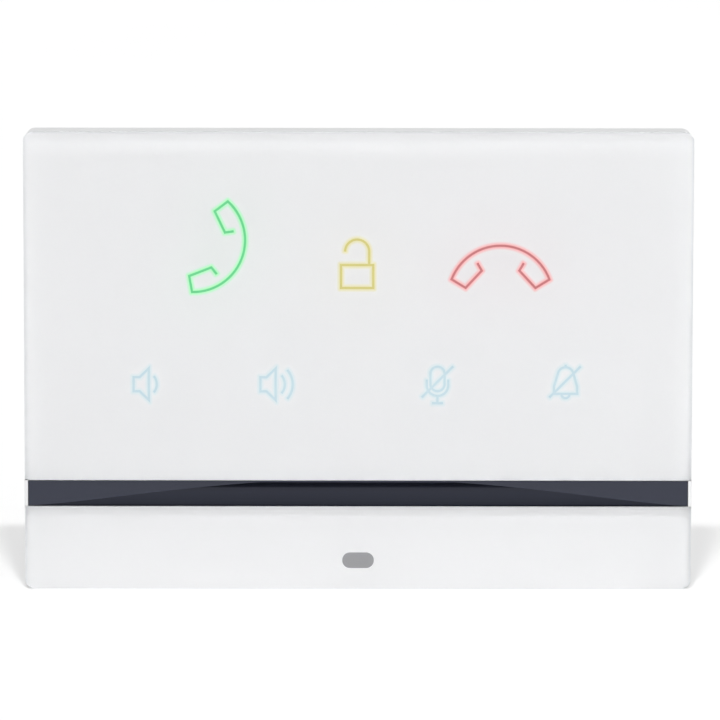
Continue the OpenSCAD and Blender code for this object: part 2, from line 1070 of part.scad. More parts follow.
module terminal_block() {
    entry_r = 1.3;
    entry_h = 72.4;
    gap = 0.1;
    color("dimgray")
        difference() {
            block(block_x, [board_back, block_end], block_h);
            for (i = [0:pole_count - 1]) {
                post([pole_x(i), entry_h], [board_back - 1, block_end + 1], entry_r);
                block(span(pole_x(i), release_w + 2 * gap),
                    [release_d[0] - release_travel - gap, block_end + 1], release_h + [-gap, gap]);
            }
        }
}

module terminal_button(i) {
    slot_w = 0.6;
    color("darkorange")
        difference() {
            block(span(pole_x(i), release_w), release_d, release_h);
            block(span(pole_x(i), release_w + 1), [release_d[1] - slot_w, release_d[1] + 1],
                span((release_h[0] + release_h[1]) / 2, slot_w));
        }
}

module terminal_button_1() {
    terminal_button(0);
}

module terminal_button_2() {
    terminal_button(1);
}

module terminal_button_3() {
    terminal_button(2);
}

module terminal_button_4() {
    terminal_button(3);
}

reset_top = 16.7;
reset_travel = 0.3;

module reset_switch() {
    color("black")
        difference() {
            block(span(reset_at[0], reset_body), [board_back, reset_top], span(reset_at[1], reset_body));
            post(reset_at, [reset_top - 1, reset_top + 1], reset_button_r + 0.08);
        }
    color("silver")
        for (x = [-1, 1], h = [-1, 1])
            block(span(reset_at[0] + x * 3.6, 1.2), [board_back, board_back + 0.3],
                span(reset_at[1] + h * 2.2, 0.8));
}

module reset_button() {
    color("ivory")
        post(reset_at, [reset_top - 1 + reset_travel + 0.1, 17.8], reset_button_r);
}

// ---- Rear cover and its screws ----

// Half the section of a countersunk head, in (radius, depth)
module case_cone(head) {
    polygon([[0, case_cone_start], [case_shank, case_cone_start], [head, frame_end], [0, frame_end]]);
}

module vent_row(h) {
    pitch = 6;
    vent = [3.6, 5];
    for (i = [-7:7])
        if (abs(i) > 1)
            block(span(i * pitch, vent[0]), span(19.5, vent[1]), h);
}

module rear_cover() {
    half = panel_w / 2;
    flange_gap = 0.2;
    box_x = half - cover_inset;
    box_h = [cover_inset, panel_h - cover_inset];
    lock_hole_r = 1.75;
    board_bore_end = 20;
    color(WHITE)
        difference() {
            union() {
                difference() {
                    union() {
                        slab(flange_d)
                            centred_panel(half - wall_t - flange_gap,
                                [wall_t + flange_gap, panel_h - wall_t - flange_gap], 1);
                        slab([flange_d[0], cover_end])
                            centred_panel(box_x, box_h, 4);
                    }
                    slab([flange_d[0] - 1, cover_inner_end])
                        centred_panel(box_x - wall_t, box_h + [wall_t, -wall_t], 2);
                }
                for (at = board_screws_at)
                    post(at, [main_board_d[1], cover_inner_end + 0.5], boss_r);
            }
            slab([cover_inner_end - 1, cover_end + 1])
                centred_panel(bay_x, bay_h, 2);
            for (x = [-hook_x, hook_x], h = hook_low)
                block(span(x, hook_w + 0.6), [cover_inner_end - 1, cover_end + 1],
                    [h - unit_travel - 0.3, h + hook_t + 0.1]);
            for (at = case_screws_at) {
                post(at, [flange_d[0] - 1, flange_d[1] + 1], case_bore + 0.1);
                turned(at)
                    case_cone(case_head + 0.02);
            }
            for (at = board_screws_at)
                post(at, [main_board_d[1] - 1, board_bore_end], small_bore);
            rise([box_h[0] - 1, box_h[0] + wall_t + 1])
                translate([0, lock_d])
                    circle(lock_hole_r);
            vent_row([box_h[1] - wall_t - 1, box_h[1] + 1]);
            vent_row([box_h[0] - 1, box_h[0] + wall_t + 1]);
            slab([cover_end - label_recess, cover_end + 1])
                panel(label_x + [-label_gap, label_gap], label_h + [-label_gap, label_gap], 1);
        }
}

// Countersunk screws, flush with the back of the rear cover's flange
module case_screws() {
    tip = 6.6;
    slot_w = 0.6;
    color(STEEL)
        for (at = case_screws_at)
            difference() {
                union() {
                    post(at, [tip, case_cone_start], case_shank);
                    turned(at)
                        case_cone(case_head);
                }
                for (turn = [0, 90])
                    slab([frame_end - slot_w, frame_end + 1])
                        translate(at)
                            rotate(turn)
                                square([3.2, slot_w], center = true);
            }
}

module rating_label() {
    color("white")
        slab([cover_end - label_recess, cover_end - label_recess + label_t])
            panel(label_x, label_h, 0.8);
}

// ---- Wall plate and its lock screw ----

// One hook: a stem through the rear cover, and a finger that stands up behind its back wall
module hook(x, h) {
    block(span(x, hook_w), [hook_inner_d[0], plate_d[0] + 0.1], [h, h + hook_t]);
    block(span(x, hook_w), hook_inner_d, [h, h + hook_rise]);
}

module wall_plate() {
    plate_x = 66;
    plate_h = [14, 96];
    opening_x = 23;
    opening_h = [40, 84];
    box_screw_x = 30;
    box_slot = 9;
    box_screw_r = 2.1;
    wall_screw = [58, 30];
    wall_screw_r = 2.25;
    middle = panel_h / 2;
    color(STEEL)
        difference() {
            union() {
                slab(plate_d)
                    centred_panel(plate_x, plate_h, 4);
                block([-lip_x, lip_x], plate_d, [lip_h[0], plate_h[0] + 1]);
                block([-lip_x, lip_x], [lip_front, plate_d[1]], lip_h);
                for (x = [-hook_x, hook_x], h = hook_low)
                    hook(x, h);
            }
            slab([plate_d[0] - 0.5, plate_d[1] + 1])
                centred_panel(opening_x, opening_h, 3);
            slab([plate_d[0] - 1, plate_d[1] + 1])
                for (side = [-1, 1])
                    translate([side * box_screw_x, middle])
                        centred_panel(box_slot / 2, [-box_screw_r, box_screw_r], box_screw_r - 0.001);
            for (x = [-1, 1], h = [-1, 1])
                post([x * wall_screw[0], middle + h * wall_screw[1]], [plate_d[0] - 1, plate_d[1] + 1],
                    wall_screw_r);
            for (x = [-hook_x, hook_x], h = hook_low)
                block(span(x, hook_w), [plate_d[0] - 0.1, plate_d[1] + 1],
                    [h + hook_t, h + hook_t + hook_rise]);
            rise([lip_h[0] - 1, lip_h[1] + 1])
                translate([0, lock_d])
                    circle(case_bore);
        }
}

module lock_screw() {
    head_h = 2.4;
    recess = 0.8;
    color(STEEL)
        difference() {
            union() {
                rise([lip_h[0], lock_tip])
                    translate([0, lock_d])
                        circle(case_shank);
                rise([lip_h[0] - head_h, lip_h[0]])
                    translate([0, lock_d])
                        circle(case_head);
            }
            for (turn = [0, 90])
                rise([lip_h[0] - head_h - 1, lip_h[0] - head_h + recess])
                    translate([0, lock_d])
                        rotate(turn)
                            square([3.6, recess], center = true);
        }
}

wall_plate();
lock_screw();
front_frame();
touch_glass();
touch_print();
lower_glass();
lower_print();
badge();
answer_icon();
door_icon();
reject_icon();
volume_down_icon();
volume_up_icon();
mute_icon();
do_not_disturb_icon();
glass_tape();
lower_glass_tape();
touch_film();
diffuser();
light_baffle();
led_board();
leds();
touch_chips();
led_board_screws();
sound_channel();
channel_screws();
speaker_gasket();
speaker_basket();
speaker_surround();
speaker_cone();
speaker_dust_cap();
voice_coil();
speaker_magnet();
speaker_clamp();
speaker_screws();
audio_wires();
microphone();
microphone_boot();
main_board();
main_board_screws();
shield_can();
main_chips();
ethernet_transformer();
capacitors();
power_chokes();
wire_headers();
ribbon_cable();
socket_body();
socket_shell();
socket_contacts();
terminal_block();
terminal_button_1();
terminal_button_2();
terminal_button_3();
terminal_button_4();
reset_switch();
reset_button();
rear_cover();
case_screws();
rating_label();
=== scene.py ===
"""Looks of the intercom answering unit: materials, lit icons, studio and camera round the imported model.

Lengths are in metres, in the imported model's frame: +X right, +Z up, +Y into the wall."""

import json
import math

import bpy
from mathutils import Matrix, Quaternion, Vector
from mathutils.bvhtree import BVHTree


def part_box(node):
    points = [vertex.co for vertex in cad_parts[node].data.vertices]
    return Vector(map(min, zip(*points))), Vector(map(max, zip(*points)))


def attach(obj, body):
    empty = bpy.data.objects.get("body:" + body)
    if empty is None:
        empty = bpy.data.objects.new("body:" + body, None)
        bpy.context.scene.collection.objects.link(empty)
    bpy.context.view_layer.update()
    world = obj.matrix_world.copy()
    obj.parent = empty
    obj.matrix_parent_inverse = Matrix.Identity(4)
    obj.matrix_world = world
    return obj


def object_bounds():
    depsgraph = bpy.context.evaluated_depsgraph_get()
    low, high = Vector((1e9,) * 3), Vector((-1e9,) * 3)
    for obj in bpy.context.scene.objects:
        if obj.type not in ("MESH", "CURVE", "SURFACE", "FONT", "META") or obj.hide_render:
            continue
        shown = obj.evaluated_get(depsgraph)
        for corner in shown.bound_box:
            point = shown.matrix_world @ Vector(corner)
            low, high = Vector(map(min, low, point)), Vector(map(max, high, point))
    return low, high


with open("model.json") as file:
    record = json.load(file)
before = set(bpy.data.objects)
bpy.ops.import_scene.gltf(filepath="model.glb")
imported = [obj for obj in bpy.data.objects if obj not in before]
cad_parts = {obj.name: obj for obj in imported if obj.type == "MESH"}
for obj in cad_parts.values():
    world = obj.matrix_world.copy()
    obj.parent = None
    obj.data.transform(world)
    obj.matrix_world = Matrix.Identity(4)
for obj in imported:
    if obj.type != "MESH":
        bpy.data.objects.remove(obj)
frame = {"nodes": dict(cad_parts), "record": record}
cad_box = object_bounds()
nodes = frame["nodes"]

MM = 0.001
ICONS = [name for name in nodes if name.endswith("_icon")]

# ---- Camera: slightly above the unit, with a long lens ----

CAMERA_ELEVATION = math.radians(6.7)
CAMERA_AZIMUTH = math.radians(-0.12)
CAMERA_DISTANCE = 1.35
CAMERA_LENS = 279.2
CAMERA_ROLL = math.radians(0.08)
CAMERA_SENSOR = 36
LINE_OF_SIGHT = Vector((0, 0, 1))
CAMERA_TARGET = Vector((0.44 * MM, -14 * MM, -1.21 * MM))


def aim(thing, towards):
    thing.rotation_mode = "QUATERNION"
    thing.rotation_quaternion = (towards - thing.location).to_track_quat("-Z", "Y")


def add(name, data):
    made = bpy.data.objects.new(name, data)
    bpy.context.scene.collection.objects.link(made)
    return made


def make_camera():
    data = bpy.data.cameras.new("camera")
    data.lens = CAMERA_LENS
    data.sensor_width = CAMERA_SENSOR
    data.clip_start = 0.01
    data.clip_end = 20
    camera = add("camera", data)
    back = Vector((
        math.sin(CAMERA_AZIMUTH) * math.cos(CAMERA_ELEVATION),
        -math.cos(CAMERA_AZIMUTH) * math.cos(CAMERA_ELEVATION),
        math.sin(CAMERA_ELEVATION),
    ))
    camera.location = CAMERA_TARGET + back * CAMERA_DISTANCE
    aim(camera, CAMERA_TARGET)
    camera.rotation_quaternion = camera.rotation_quaternion @ Quaternion(LINE_OF_SIGHT, CAMERA_ROLL)
    bpy.context.scene.camera = camera


# ---- Materials ----


class Graph:
    """A material's node tree, with short calls for the nodes that the materials share."""

    def __init__(self, name):
        self.material = bpy.data.materials.new(name)
        self.material.use_nodes = True
        self.tree = self.material.node_tree
        self.tree.nodes.clear()
        self.output = self.tree.nodes.new("ShaderNodeOutputMaterial")
        self.place = self.tree.nodes.new("ShaderNodeTexCoord").outputs["Object"]

    def feed(self, socket, value):
        if isinstance(value, bpy.types.NodeSocket):
            self.tree.links.new(value, socket)
        else:
            socket.default_value = value

    def node(self, kind, inputs=(), **settings):
        made = self.tree.nodes.new(kind)
        for key, value in settings.items():
            setattr(made, key, value)
        for key, value in dict(inputs).items():
            self.feed(made.inputs[key], value)
        return made

    def math(self, operation, *values):
        made = self.node("ShaderNodeMath", operation=operation)
        for socket, value in zip(made.inputs, values):
            self.feed(socket, value)
        return made.outputs[0]

    def stretch(self, scale, place=None):
        return self.node("ShaderNodeMapping", {"Vector": place or self.place, "Scale": scale}).outputs[0]

    def noise(self, size, detail=3, roughness=0.5, place=None):
        inputs = {"Vector": place or self.place, "Scale": 1 / size, "Detail": detail, "Roughness": roughness}
        return self.node("ShaderNodeTexNoise", inputs).outputs["Fac"]

    def cells(self, size, distance="EUCLIDEAN", output="Distance", place=None):
        inputs = {"Vector": place or self.place, "Scale": 1 / size}
        return self.node("ShaderNodeTexVoronoi", inputs, distance=distance).outputs[output]

    def spread(self, value, low, high, to_low=0.0, to_high=1.0):
        """Maps low to to_low and high to to_high, and keeps what is outside them at the ends."""
        inputs = {"Value": value, "From Min": low, "From Max": high, "To Min": to_low, "To Max": to_high}
        return self.node("ShaderNodeMapRange", inputs).outputs[0]

    def mix(self, factor, first, second):
        made = self.node("ShaderNodeMix", data_type="RGBA")
        self.feed(made.inputs["Factor"], factor)
        self.feed(made.inputs[6], first)
        self.feed(made.inputs[7], second)
        return made.outputs[2]

    def bump(self, height, depth, normal=None):
        inputs = {"Height": height, "Distance": depth}
        if normal is not None:
            inputs["Normal"] = normal
        return self.node("ShaderNodeBump", inputs).outputs[0]

    def rounded(self, width):
        """The normal of a surface whose edges are rounded over by width."""
        return self.node("ShaderNodeBevel", {"Radius": width}, samples=4).outputs[0]

    def worn_and_highlit_edges(self, rounded):
        """1 on edges and 0 on flat faces, broken up by a noise. The materials lighten these edges, as wear
        and as a painted highlight.
        """
        flat = self.node("ShaderNodeNewGeometry").outputs["Normal"]
        turn = self.node("ShaderNodeVectorMath", {0: rounded, 1: flat}, operation="DOT_PRODUCT")
        edge = self.spread(turn.outputs["Value"], 0.99, 0.8)
        return self.math("MULTIPLY", edge, self.spread(self.noise(1.2 * MM), 0.4, 0.6))

    def finish(self, **inputs):
        """The material with one Principled shader of these inputs, where _ stands for a space."""
        sockets = {key.replace("_", " "): value for key, value in inputs.items()}
        return self.surface(self.node("ShaderNodeBsdfPrincipled", sockets).outputs[0])

    def surface(self, shader):
        self.tree.links.new(shader, self.output.inputs["Surface"])
        return self.material


def rgba(colour, factor=1.0):
    return (colour[0] * factor, colour[1] * factor, colour[2] * factor, 1.0)


def plastic(name, colour, roughness=0.42, grain=0.35 * MM, depth=0.012 * MM, tint=0.05, wear_and_highlight=0.04):
    """Moulded plastic: spark-eroded grain, a cloudy tint, and edges polished by handling and lightened as
    wear and a painted highlight.
    """
    g = Graph(name)
    cloud = g.noise(12 * MM, detail=4)
    fine = g.noise(grain, detail=2)
    body = g.mix(g.spread(cloud, 0.35, 0.65), rgba(colour, 1 - tint), rgba(colour))
    rounded = g.rounded(0.25 * MM)
    edge = g.worn_and_highlit_edges(rounded)
    matt = g.spread(fine, 0.3, 0.7, roughness - 0.05, roughness + 0.07)
    return g.finish(
        # edges lightened: handling wear and a painted edge highlight
        Base_Color=g.mix(g.math("MULTIPLY", edge, wear_and_highlight * 6), body, rgba(colour, 1 + wear_and_highlight)),
        Roughness=g.math("SUBTRACT", matt, g.math("MULTIPLY", edge, 0.12)),
        Normal=g.bump(fine, depth, rounded),
    )


def metal(name, colour, roughness=0.3, brushed=(1, 1, 1), grain=0.5 * MM, depth=0.004 * MM):
    """Plated or bare metal: a grain stretched along one way, dull patches, and edges brightened as wear and a
    painted highlight.
    """
    g = Graph(name)
    fine = g.noise(grain, detail=3, place=g.stretch(brushed))
    patch = g.noise(7 * MM, detail=5)
    body = g.mix(g.spread(patch, 0.35, 0.65), rgba(colour, 0.82), rgba(colour))
    rounded = g.rounded(0.15 * MM)
    return g.finish(
        # edges brightened: wear and a painted edge highlight
        Base_Color=g.mix(g.worn_and_highlit_edges(rounded), body, rgba(colour, 1.2)),
        Metallic=1.0,
        Roughness=g.spread(fine, 0.3, 0.7, roughness - 0.08, roughness + 0.1),
        Normal=g.bump(fine, depth, rounded),
    )


def zinc_sheet(name):
    """Zinc-plated sheet: faint spangles, rolling lines along X and dull finger marks."""
    g = Graph(name)
    spangle = g.cells(2.5 * MM, output="Color")
    tone = g.node("ShaderNodeRGBToBW", {"Color": spangle}).outputs[0]
    lines = g.noise(0.35 * MM, detail=3, place=g.stretch((0.05, 1, 1)))
    marks = g.noise(16 * MM, detail=6, roughness=0.6)
    body = g.mix(g.spread(tone, 0.2, 0.8), (0.56, 0.57, 0.58, 1), (0.62, 0.63, 0.64, 1))
    dull = g.spread(marks, 0.42, 0.62)
    rough = g.math("ADD", g.spread(lines, 0.3, 0.7, 0.26, 0.4), g.math("MULTIPLY", dull, 0.12))
    rounded = g.rounded(0.15 * MM)
    return g.finish(
        # edges lightened: wear and a painted edge highlight
        Base_Color=g.mix(g.worn_and_highlit_edges(rounded), body, (0.75, 0.75, 0.75, 1)),
        Metallic=1.0,
        Roughness=rough,
        Normal=g.bump(lines, 0.004 * MM, rounded),
    )


# The sides of the two glasses are painted up to this height, just above the sound channel
PAINT_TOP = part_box("touch_glass")[0].z + 3 * MM
PAINT_FADE = 1 * MM


def clear_glass(name):
    """Polished float glass with the faintest wipe marks, and narrow sides ground and partly painted white."""
    g = Graph(name)
    normal = g.node("ShaderNodeTexCoord").outputs["Normal"]
    facing = g.math("ABSOLUTE", g.node("ShaderNodeSeparateXYZ", {0: normal}).outputs["Y"])
    ground = g.spread(facing, 0.08, 0.04)
    rim = g.spread(facing, 0.98, 0.9)
    height = g.node("ShaderNodeSeparateXYZ", {0: g.place}).outputs["Z"]
    painted = g.math("MULTIPLY", ground, g.spread(height, PAINT_TOP, PAINT_TOP - PAINT_FADE, 0.15, 1.0))
    wipe = g.spread(g.noise(25 * MM, detail=5), 0.4, 0.8, 0.0, 0.02)
    grit = g.noise(0.1 * MM, detail=2)
    return g.finish(
        # the rounded rim is tinted darker grey-green: painted shade drawing a dark outline round the face,
        # after the green edge of float glass
        Base_Color=g.mix(rim, (0.995, 0.998, 1, 1), (0.87, 0.885, 0.89, 1)),
        Roughness=g.math("MAXIMUM", wipe, g.math("MULTIPLY", ground, 0.6)),
        IOR=1.52,
        Transmission_Weight=g.math("SUBTRACT", 1.0, painted),
        Normal=g.bump(g.math("MULTIPLY", grit, ground), 0.02 * MM),
    )


def back_print(name, colour, painted_glow):
    """White ink on the back of a glass, faintly mottled, with a faint even glow painted in to brighten it."""
    g = Graph(name)
    mottle = g.noise(0.5 * MM, detail=4)
    return g.finish(
        Base_Color=g.mix(g.spread(mottle, 0.3, 0.7), rgba(colour, 0.99), rgba(colour)),
        Roughness=g.spread(mottle, 0.3, 0.7, 0.5, 0.65),
        # painted glow: the white ink is brightened by its own emission, not lit by a lamp
        Emission_Color=rgba(colour),
        Emission_Strength=painted_glow,
    )


def metallic_ink(name):
    """Grey ink with fine aluminium flakes."""
    g = Graph(name)
    flake = g.node("ShaderNodeRGBToBW", {"Color": g.cells(0.08 * MM, output="Color")}).outputs[0]
    return g.finish(
        Base_Color=g.mix(flake, (0.30, 0.30, 0.31, 1), (0.42, 0.42, 0.43, 1)),
        Roughness=g.spread(flake, 0, 1, 0.35, 0.6),
        Metallic=g.spread(flake, 0.6, 1, 0, 0.4),
    )


def lit_ink(name, colour, dark=0.03):
    """Translucent ink in a window of the print, lit from behind: evenly bright, with a fine screen grain."""
    g = Graph(name)
    grain = g.noise(0.15 * MM, detail=2)
    return g.finish(
        Base_Color=g.mix(grain, rgba(colour, dark), rgba(colour, dark * 2)),
        Roughness=g.spread(grain, 0, 1, 0.4, 0.6),
        Emission_Color=rgba(colour),
        Emission_Strength=1.0,
    )


def halo_light(name, colour, strength):
    """Light that bleeds from a lit window into the ink round it, and fades with the distance in "reach"."""
    g = Graph(name)
    reach = g.node("ShaderNodeAttribute", attribute_name="reach").outputs["Fac"]
    fade = g.spread(reach, 0.0, 1.0, strength, 0.0)
    grain = g.noise(0.2 * MM, detail=2)
    lit = g.node("ShaderNodeBsdfPrincipled", {
        "Base Color": (0, 0, 0, 1),
        "Roughness": g.spread(grain, 0, 1, 0.8, 1.0),
        "Specular IOR Level": 0.0,
        "Emission Color": rgba(colour),
        "Emission Strength": 1.0,
    })
    clear = g.node("ShaderNodeBsdfTransparent")
    mixed = g.node("ShaderNodeMixShader", {0: fade, 1: clear.outputs[0], 2: lit.outputs[0]})
    return g.surface(mixed.outputs[0])


def channel_black(name):
    """Black plastic with a blue sheen, polished in the mould."""
    g = Graph(name)
    flow = g.noise(6 * MM, detail=4)
    fine = g.noise(0.15 * MM, detail=2)
    return g.finish(
        Base_Color=g.mix(flow, (0.001, 0.0015, 0.004, 1), (0.002, 0.003, 0.006, 1)),
        Roughness=g.spread(fine, 0.3, 0.7, 0.14, 0.2),
        IOR=1.75,
        Specular_Tint=(0.74, 0.78, 1, 1),
        Normal=g.bump(fine, 0.0004 * MM),
    )


def foam(name, colour):
    """Closed-cell foam: small round cells cut open, with painted shade in their hollows."""
    g = Graph(name)
    cell = g.cells(0.25 * MM)
    return g.finish(
        # darker towards each cell's sunken centre: painted shade in the hollows
        Base_Color=g.mix(g.spread(cell, 0.1, 0.6), rgba(colour, 0.7), rgba(colour)),
        Roughness=0.9,
        Normal=g.bump(cell, 0.06 * MM),
    )


def film(name, colour, line, pitch):
    """Plastic film with thin printed conductors."""
    g = Graph(name)
    lattice = g.cells(pitch, distance="MANHATTAN", place=g.stretch((1, 0, 1)))
    tracks = g.spread(lattice, 0.46, 0.5)
    return g.finish(
        Base_Color=g.mix(tracks, rgba(colour), rgba(line)),
        Roughness=g.spread(g.noise(2 * MM), 0.3, 0.7, 0.2, 0.35),
        Normal=g.bump(tracks, 0.01 * MM),
    )


def circuit_board(name):
    """Green solder mask over copper tracks and filled areas, with tinned vias."""
    g = Graph(name)
    plane = g.stretch((1, 0.001, 1))
    laid = g.node("ShaderNodeMapping", {"Vector": plane, "Rotation": (math.radians(90), 0, 0)}).outputs[0]
    tracks = g.node("ShaderNodeTexBrick", {
        "Vector": laid,
        "Scale": 1.0, "Mortar Size": 0.16 * MM, "Mortar Smooth": 0.1, "Bias": 0.0,
        "Brick Width": 6.1 * MM, "Row Height": 0.9 * MM,
    }, offset=0.37, offset_frequency=3).outputs["Fac"]
    area = g.spread(g.noise(14 * MM, detail=1, place=plane), 0.5, 0.51)
    filled = g.math("MULTIPLY", g.math("SUBTRACT", 1.0, area), 0.6)
    copper = g.math("MAXIMUM", g.math("MULTIPLY", tracks, area), filled)
    via = g.cells(2.3 * MM, place=plane)
    ring = g.math("MULTIPLY", g.spread(via, 0.17, 0.15), g.spread(via, 0.07, 0.09))
    # the open via holes are painted near black: painted shade inside the holes
    hole = g.spread(via, 0.08, 0.07)
    mask = g.mix(copper, (0.004, 0.07, 0.025, 1), (0.02, 0.2, 0.07, 1))
    tinned = g.mix(ring, mask, (0.75, 0.73, 0.68, 1))
    return g.finish(
        Base_Color=g.mix(hole, tinned, (0.01, 0.01, 0.01, 1)),
        Metallic=ring,
        Roughness=g.spread(g.noise(0.6 * MM), 0.3, 0.7, 0.22, 0.36),
        Normal=g.bump(g.math("ADD", copper, ring), 0.03 * MM),
    )


def paper(name, colour, fibre=0.4 * MM, depth=0.03 * MM):
    """Pulp or label stock with short fibres."""
    g = Graph(name)
    fibres = g.noise(fibre, detail=6, roughness=0.7, place=g.stretch((1, 1, 0.35)))
    return g.finish(
        Base_Color=g.mix(g.spread(fibres, 0.35, 0.65), rgba(colour, 0.85), rgba(colour)),
        Roughness=g.spread(fibres, 0.3, 0.7, 0.75, 0.95),
        Normal=g.bump(fibres, depth),
    )


def wound_wire(name, colour, pitch):
    """Fine enamelled wire wound side by side along Y, with painted shade in the grooves between turns."""
    g = Graph(name)
    turns = g.node("ShaderNodeTexWave", {
        "Vector": g.place, "Scale": 1 / pitch / 20 * math.tau, "Distortion": 0.2, "Detail": 1.0,
    }, bands_direction="Y").outputs["Fac"]
    return g.finish(
        # half as bright in the grooves between turns: painted shade
        Base_Color=g.mix(turns, rgba(colour, 0.5), rgba(colour)),
        Metallic=0.9,
        Roughness=0.35,
        Normal=g.bump(turns, 0.03 * MM),
    )


def striped(name, colour, line, pitch):
    """A flat cable: conductors side by side under a thin sleeve, with painted shade in the valleys between
    them.
    """
    g = Graph(name)
    ridges = g.node("ShaderNodeTexWave", {
        "Vector": g.place, "Scale": 1 / pitch / 20 * math.tau, "Distortion": 0.0,
    }, bands_direction="X").outputs["Fac"]
    return g.finish(
        # darker grey away from the ridge tops: painted shade in the valleys between conductors
        Base_Color=g.mix(g.spread(ridges, 0.55, 0.7), rgba(line), rgba(colour)),
        Roughness=g.spread(g.noise(1 * MM), 0.3, 0.7, 0.3, 0.42),
        Normal=g.bump(ridges, 0.03 * MM),
    )


def lamp(name):
    """A white lamp's yellow phosphor under clear resin."""
    g = Graph(name)
    grain = g.noise(0.08 * MM, detail=3)
    return g.finish(
        Base_Color=g.mix(grain, (0.8, 0.66, 0.2, 1), (0.9, 0.8, 0.35, 1)),
        Roughness=g.spread(grain, 0, 1, 0.3, 0.5),
        Coat_Weight=0.6,
        Normal=g.bump(grain, 0.01 * MM),
    )


MATERIALS = {
    "plate_steel": zinc_sheet("zinc sheet"),
    "screw_steel": metal("bright zinc screws", (0.66, 0.66, 0.64), 0.26, grain=0.2 * MM),
    "white_housing": plastic("white housing", (0.66, 0.665, 0.67), 0.42, wear_and_highlight=0.03),
    "clear_glass": clear_glass("float glass"),
    "white_print": back_print("white back print", (0.97, 0.97, 0.98), 0.03),
    "badge_grey": metallic_ink("grey ink"),
    "green_light": lit_ink("green light", (0.12, 0.63, 0.25)),
    "yellow_light": lit_ink("yellow light", (0.64, 0.58, 0.19)),
    "red_light": lit_ink("red light", (0.55, 0.16, 0.17)),
    "blue_light": lit_ink("pale blue light", (0.56, 0.7, 0.76)),
    "foam_tape": foam("foam tape", (0.6, 0.6, 0.6)),
    "sensor_film": film("sensor film", (0.75, 0.74, 0.62), (0.5, 0.42, 0.3), 4 * MM),
    "opal_film": film("opal film", (0.85, 0.85, 0.85), (0.8, 0.8, 0.8), 8 * MM),
    "baffle_plastic": plastic("white light wells", (0.8, 0.8, 0.79), 0.5),
    "board_green": circuit_board("circuit board"),
    "lamp_yellow": lamp("white lamps"),
    "chip_black": plastic("chip epoxy", (0.02, 0.02, 0.022), 0.5, 0.12 * MM, 0.01 * MM, 0.3),
    "channel_black": channel_black("channel black"),
    "basket_steel": metal("pressed steel", (0.45, 0.45, 0.47), 0.36),
    "surround_rubber": plastic("soft rubber", (0.02, 0.02, 0.02), 0.6, 0.2 * MM, 0.01 * MM, 0.3),
    "cone_paper": paper("pressed pulp", (0.06, 0.06, 0.065)),
    "coil_copper": wound_wire("enamelled copper wire", (0.7, 0.32, 0.12), 0.2 * MM),
    "magnet_steel": metal("plated yoke", (0.5, 0.5, 0.51), 0.24),
    "wire_sleeve": plastic("wire sleeve", (0.4, 0.02, 0.02), 0.4, 0.5 * MM, 0.005 * MM, 0.15),
    "mic_can": metal("drawn can", (0.72, 0.72, 0.73), 0.28),
    "shield_tin": metal("tin plate", (0.72, 0.71, 0.68), 0.22, (0.1, 1, 1)),
    "can_aluminium": metal("sleeved can", (0.3, 0.31, 0.38), 0.35, (1, 0.1, 1)),
    "choke_ferrite": plastic("ferrite", (0.05, 0.05, 0.055), 0.6, 0.2 * MM, 0.04 * MM, 0.3),
    "header_ivory": plastic("ivory nylon", (0.74, 0.69, 0.56), 0.45),
    "ribbon_white": striped("flat cable", (0.8, 0.8, 0.78), (0.55, 0.55, 0.55), 1 * MM),
    "socket_black": plastic("socket black", (0.015, 0.015, 0.017), 0.45, 0.25 * MM, 0.01 * MM, 0.3),
    "contact_gold": metal("gold plate", (0.9, 0.62, 0.22), 0.2, grain=0.15 * MM),
    "terminal_grey": plastic("grey polyamide", (0.16, 0.165, 0.17), 0.5, tint=0.12),
    "release_orange": plastic("orange polyamide", (0.75, 0.17, 0.015), 0.42, tint=0.1),
    "label_paper": paper("blank label", (0.8, 0.8, 0.79), 0.3 * MM, 0.006 * MM),
}
# The lower print gets a stronger painted glow, though no lamp sits behind it
LOWER_PRINT = back_print("white back print, lower", (0.97, 0.97, 0.98), 0.08)
HALOS = {
    "green_light": halo_light("green halo", (0.28, 1.02, 0.42), 0.6),
    "yellow_light": halo_light("yellow halo", (0.84, 0.78, 0.4), 0.72),
    "red_light": halo_light("red halo", (1.0, 0.38, 0.38), 0.64),
    "blue_light": halo_light("pale blue halo", (0.65, 0.82, 0.86), 0.5),
}


def slot_of(name):
    for part in frame["record"]["subparts"]:
        if part["node"] == name:
            return part["material_slot"]


def paint(thing, material):
    thing.data.materials.clear()
    thing.data.materials.append(material)


def dress():
    for name, node in nodes.items():
        for place in node.material_slots:
            place.material = MATERIALS[slot_of(name)]
    nodes["lower_print"].material_slots[0].material = LOWER_PRINT


# ---- Clean shading on the CAD nodes ----


def crisp_normals(smooth_under):
    """A node group that shades smoothly across edges flatter than this angle and keeps the others sharp."""
    group = bpy.data.node_groups.new("crisp normals", "GeometryNodeTree")
    for way in ("INPUT", "OUTPUT"):
        group.interface.new_socket(name="Geometry", in_out=way, socket_type="NodeSocketGeometry")
    start = group.nodes.new("NodeGroupInput")
    end = group.nodes.new("NodeGroupOutput")
    smooth = group.nodes.new("GeometryNodeSetShadeSmooth")
    angle = group.nodes.new("GeometryNodeInputMeshEdgeAngle")
    above = group.nodes.new("FunctionNodeCompare")
    above.operation = "GREATER_THAN"
    above.inputs[1].default_value = smooth_under
    normal = group.nodes.new("GeometryNodeSetMeshNormal")
    normal.mode = "SHARPNESS"
    normal.inputs["Remove Custom"].default_value = True
    for source, target in (
        (start.outputs[0], smooth.inputs["Geometry"]),
        (smooth.outputs[0], normal.inputs["Mesh"]),
        (angle.outputs["Unsigned Angle"], above.inputs[0]),
        (above.outputs[0], normal.inputs["Edge Sharpness"]),
        (normal.outputs[0], end.inputs[0]),
    ):
        group.links.new(source, target)
    return group


